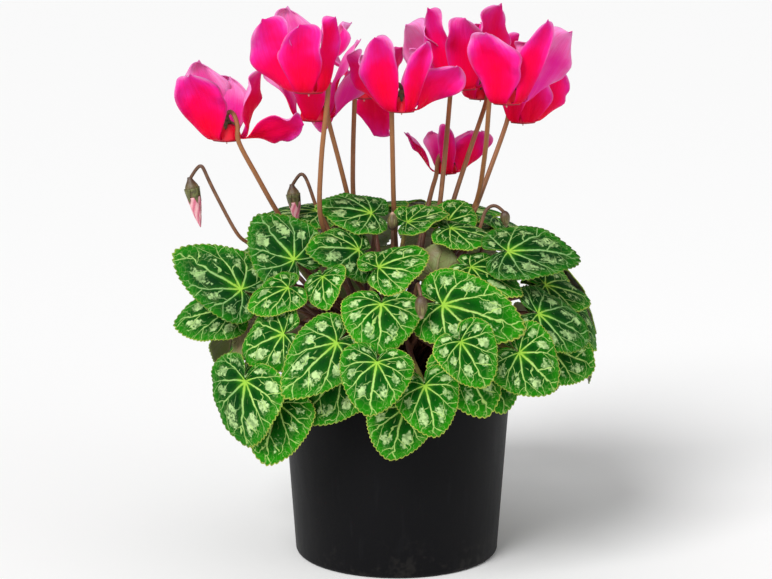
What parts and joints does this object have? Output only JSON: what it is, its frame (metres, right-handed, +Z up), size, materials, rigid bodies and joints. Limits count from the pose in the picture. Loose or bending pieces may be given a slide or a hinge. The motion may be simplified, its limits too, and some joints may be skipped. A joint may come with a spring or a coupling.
{
  "type": "potted cyclamen",
  "caption": "Flowering cyclamen in a plain tapered nursery pot, with a dome of heart-shaped toothed leaves and swept-back flowers on hooked stalks.",
  "frame": {"origin": "middle of the pot's flat underside, on the pot's own axis", "axes": "+Z up along the pot's axis; -Y is the plant's front, the side seen in the picture; +X to the right of it"},
  "size_m": [0.2344, 0.2433, 0.3073],
  "materials": {
    "pot": "black moulded plastic with a faint sheen",
    "soil": null,
    "stalks": null,
    "leaf": null,
    "petals": null,
    "bud_petals": null
  },
  "bodies": {
    "root": {"pot": "pot", "soil": "soil", "tuber_and_stalks": "stalks", "leaf_01": "leaf", "leaf_02": "leaf", "leaf_03": "leaf", "leaf_04": "leaf", "leaf_05": "leaf", "leaf_06": "leaf", "leaf_07": "leaf", "leaf_08": "leaf", "leaf_09": "leaf", "leaf_10": "leaf", "leaf_11": "leaf", "leaf_12": "leaf", "leaf_13": "leaf", "leaf_14": "leaf", "leaf_15": "leaf", "leaf_16": "leaf", "leaf_17": "leaf", "leaf_18": "leaf", "leaf_19": "leaf", "leaf_20": "leaf", "leaf_21": "leaf", "leaf_22": "leaf", "leaf_23": "leaf", "leaf_24": "leaf", "leaf_25": "leaf", "leaf_26": "leaf", "leaf_27": "leaf", "leaf_28": "leaf", "leaf_29": "leaf", "leaf_30": "leaf", "leaf_31": "leaf", "leaf_32": "leaf", "leaf_33": "leaf", "leaf_34": "leaf", "leaf_35": "leaf", "leaf_36": "leaf", "leaf_37": "leaf", "leaf_38": "leaf", "leaf_39": "leaf", "leaf_40": "leaf", "leaf_41": "leaf", "leaf_42": "leaf", "leaf_43": "leaf", "leaf_44": "leaf", "leaf_45": "leaf", "bloom_01": "petals", "bloom_02": "petals", "bloom_03": "petals", "bloom_04": "petals", "bloom_05": "petals", "bloom_06": "petals", "bloom_07": "petals", "bloom_08": "petals", "bloom_09": "petals", "bloom_10": "petals", "bud_petals_1": "bud_petals", "bud_petals_2": "bud_petals"}
  },
  "joints": []
}
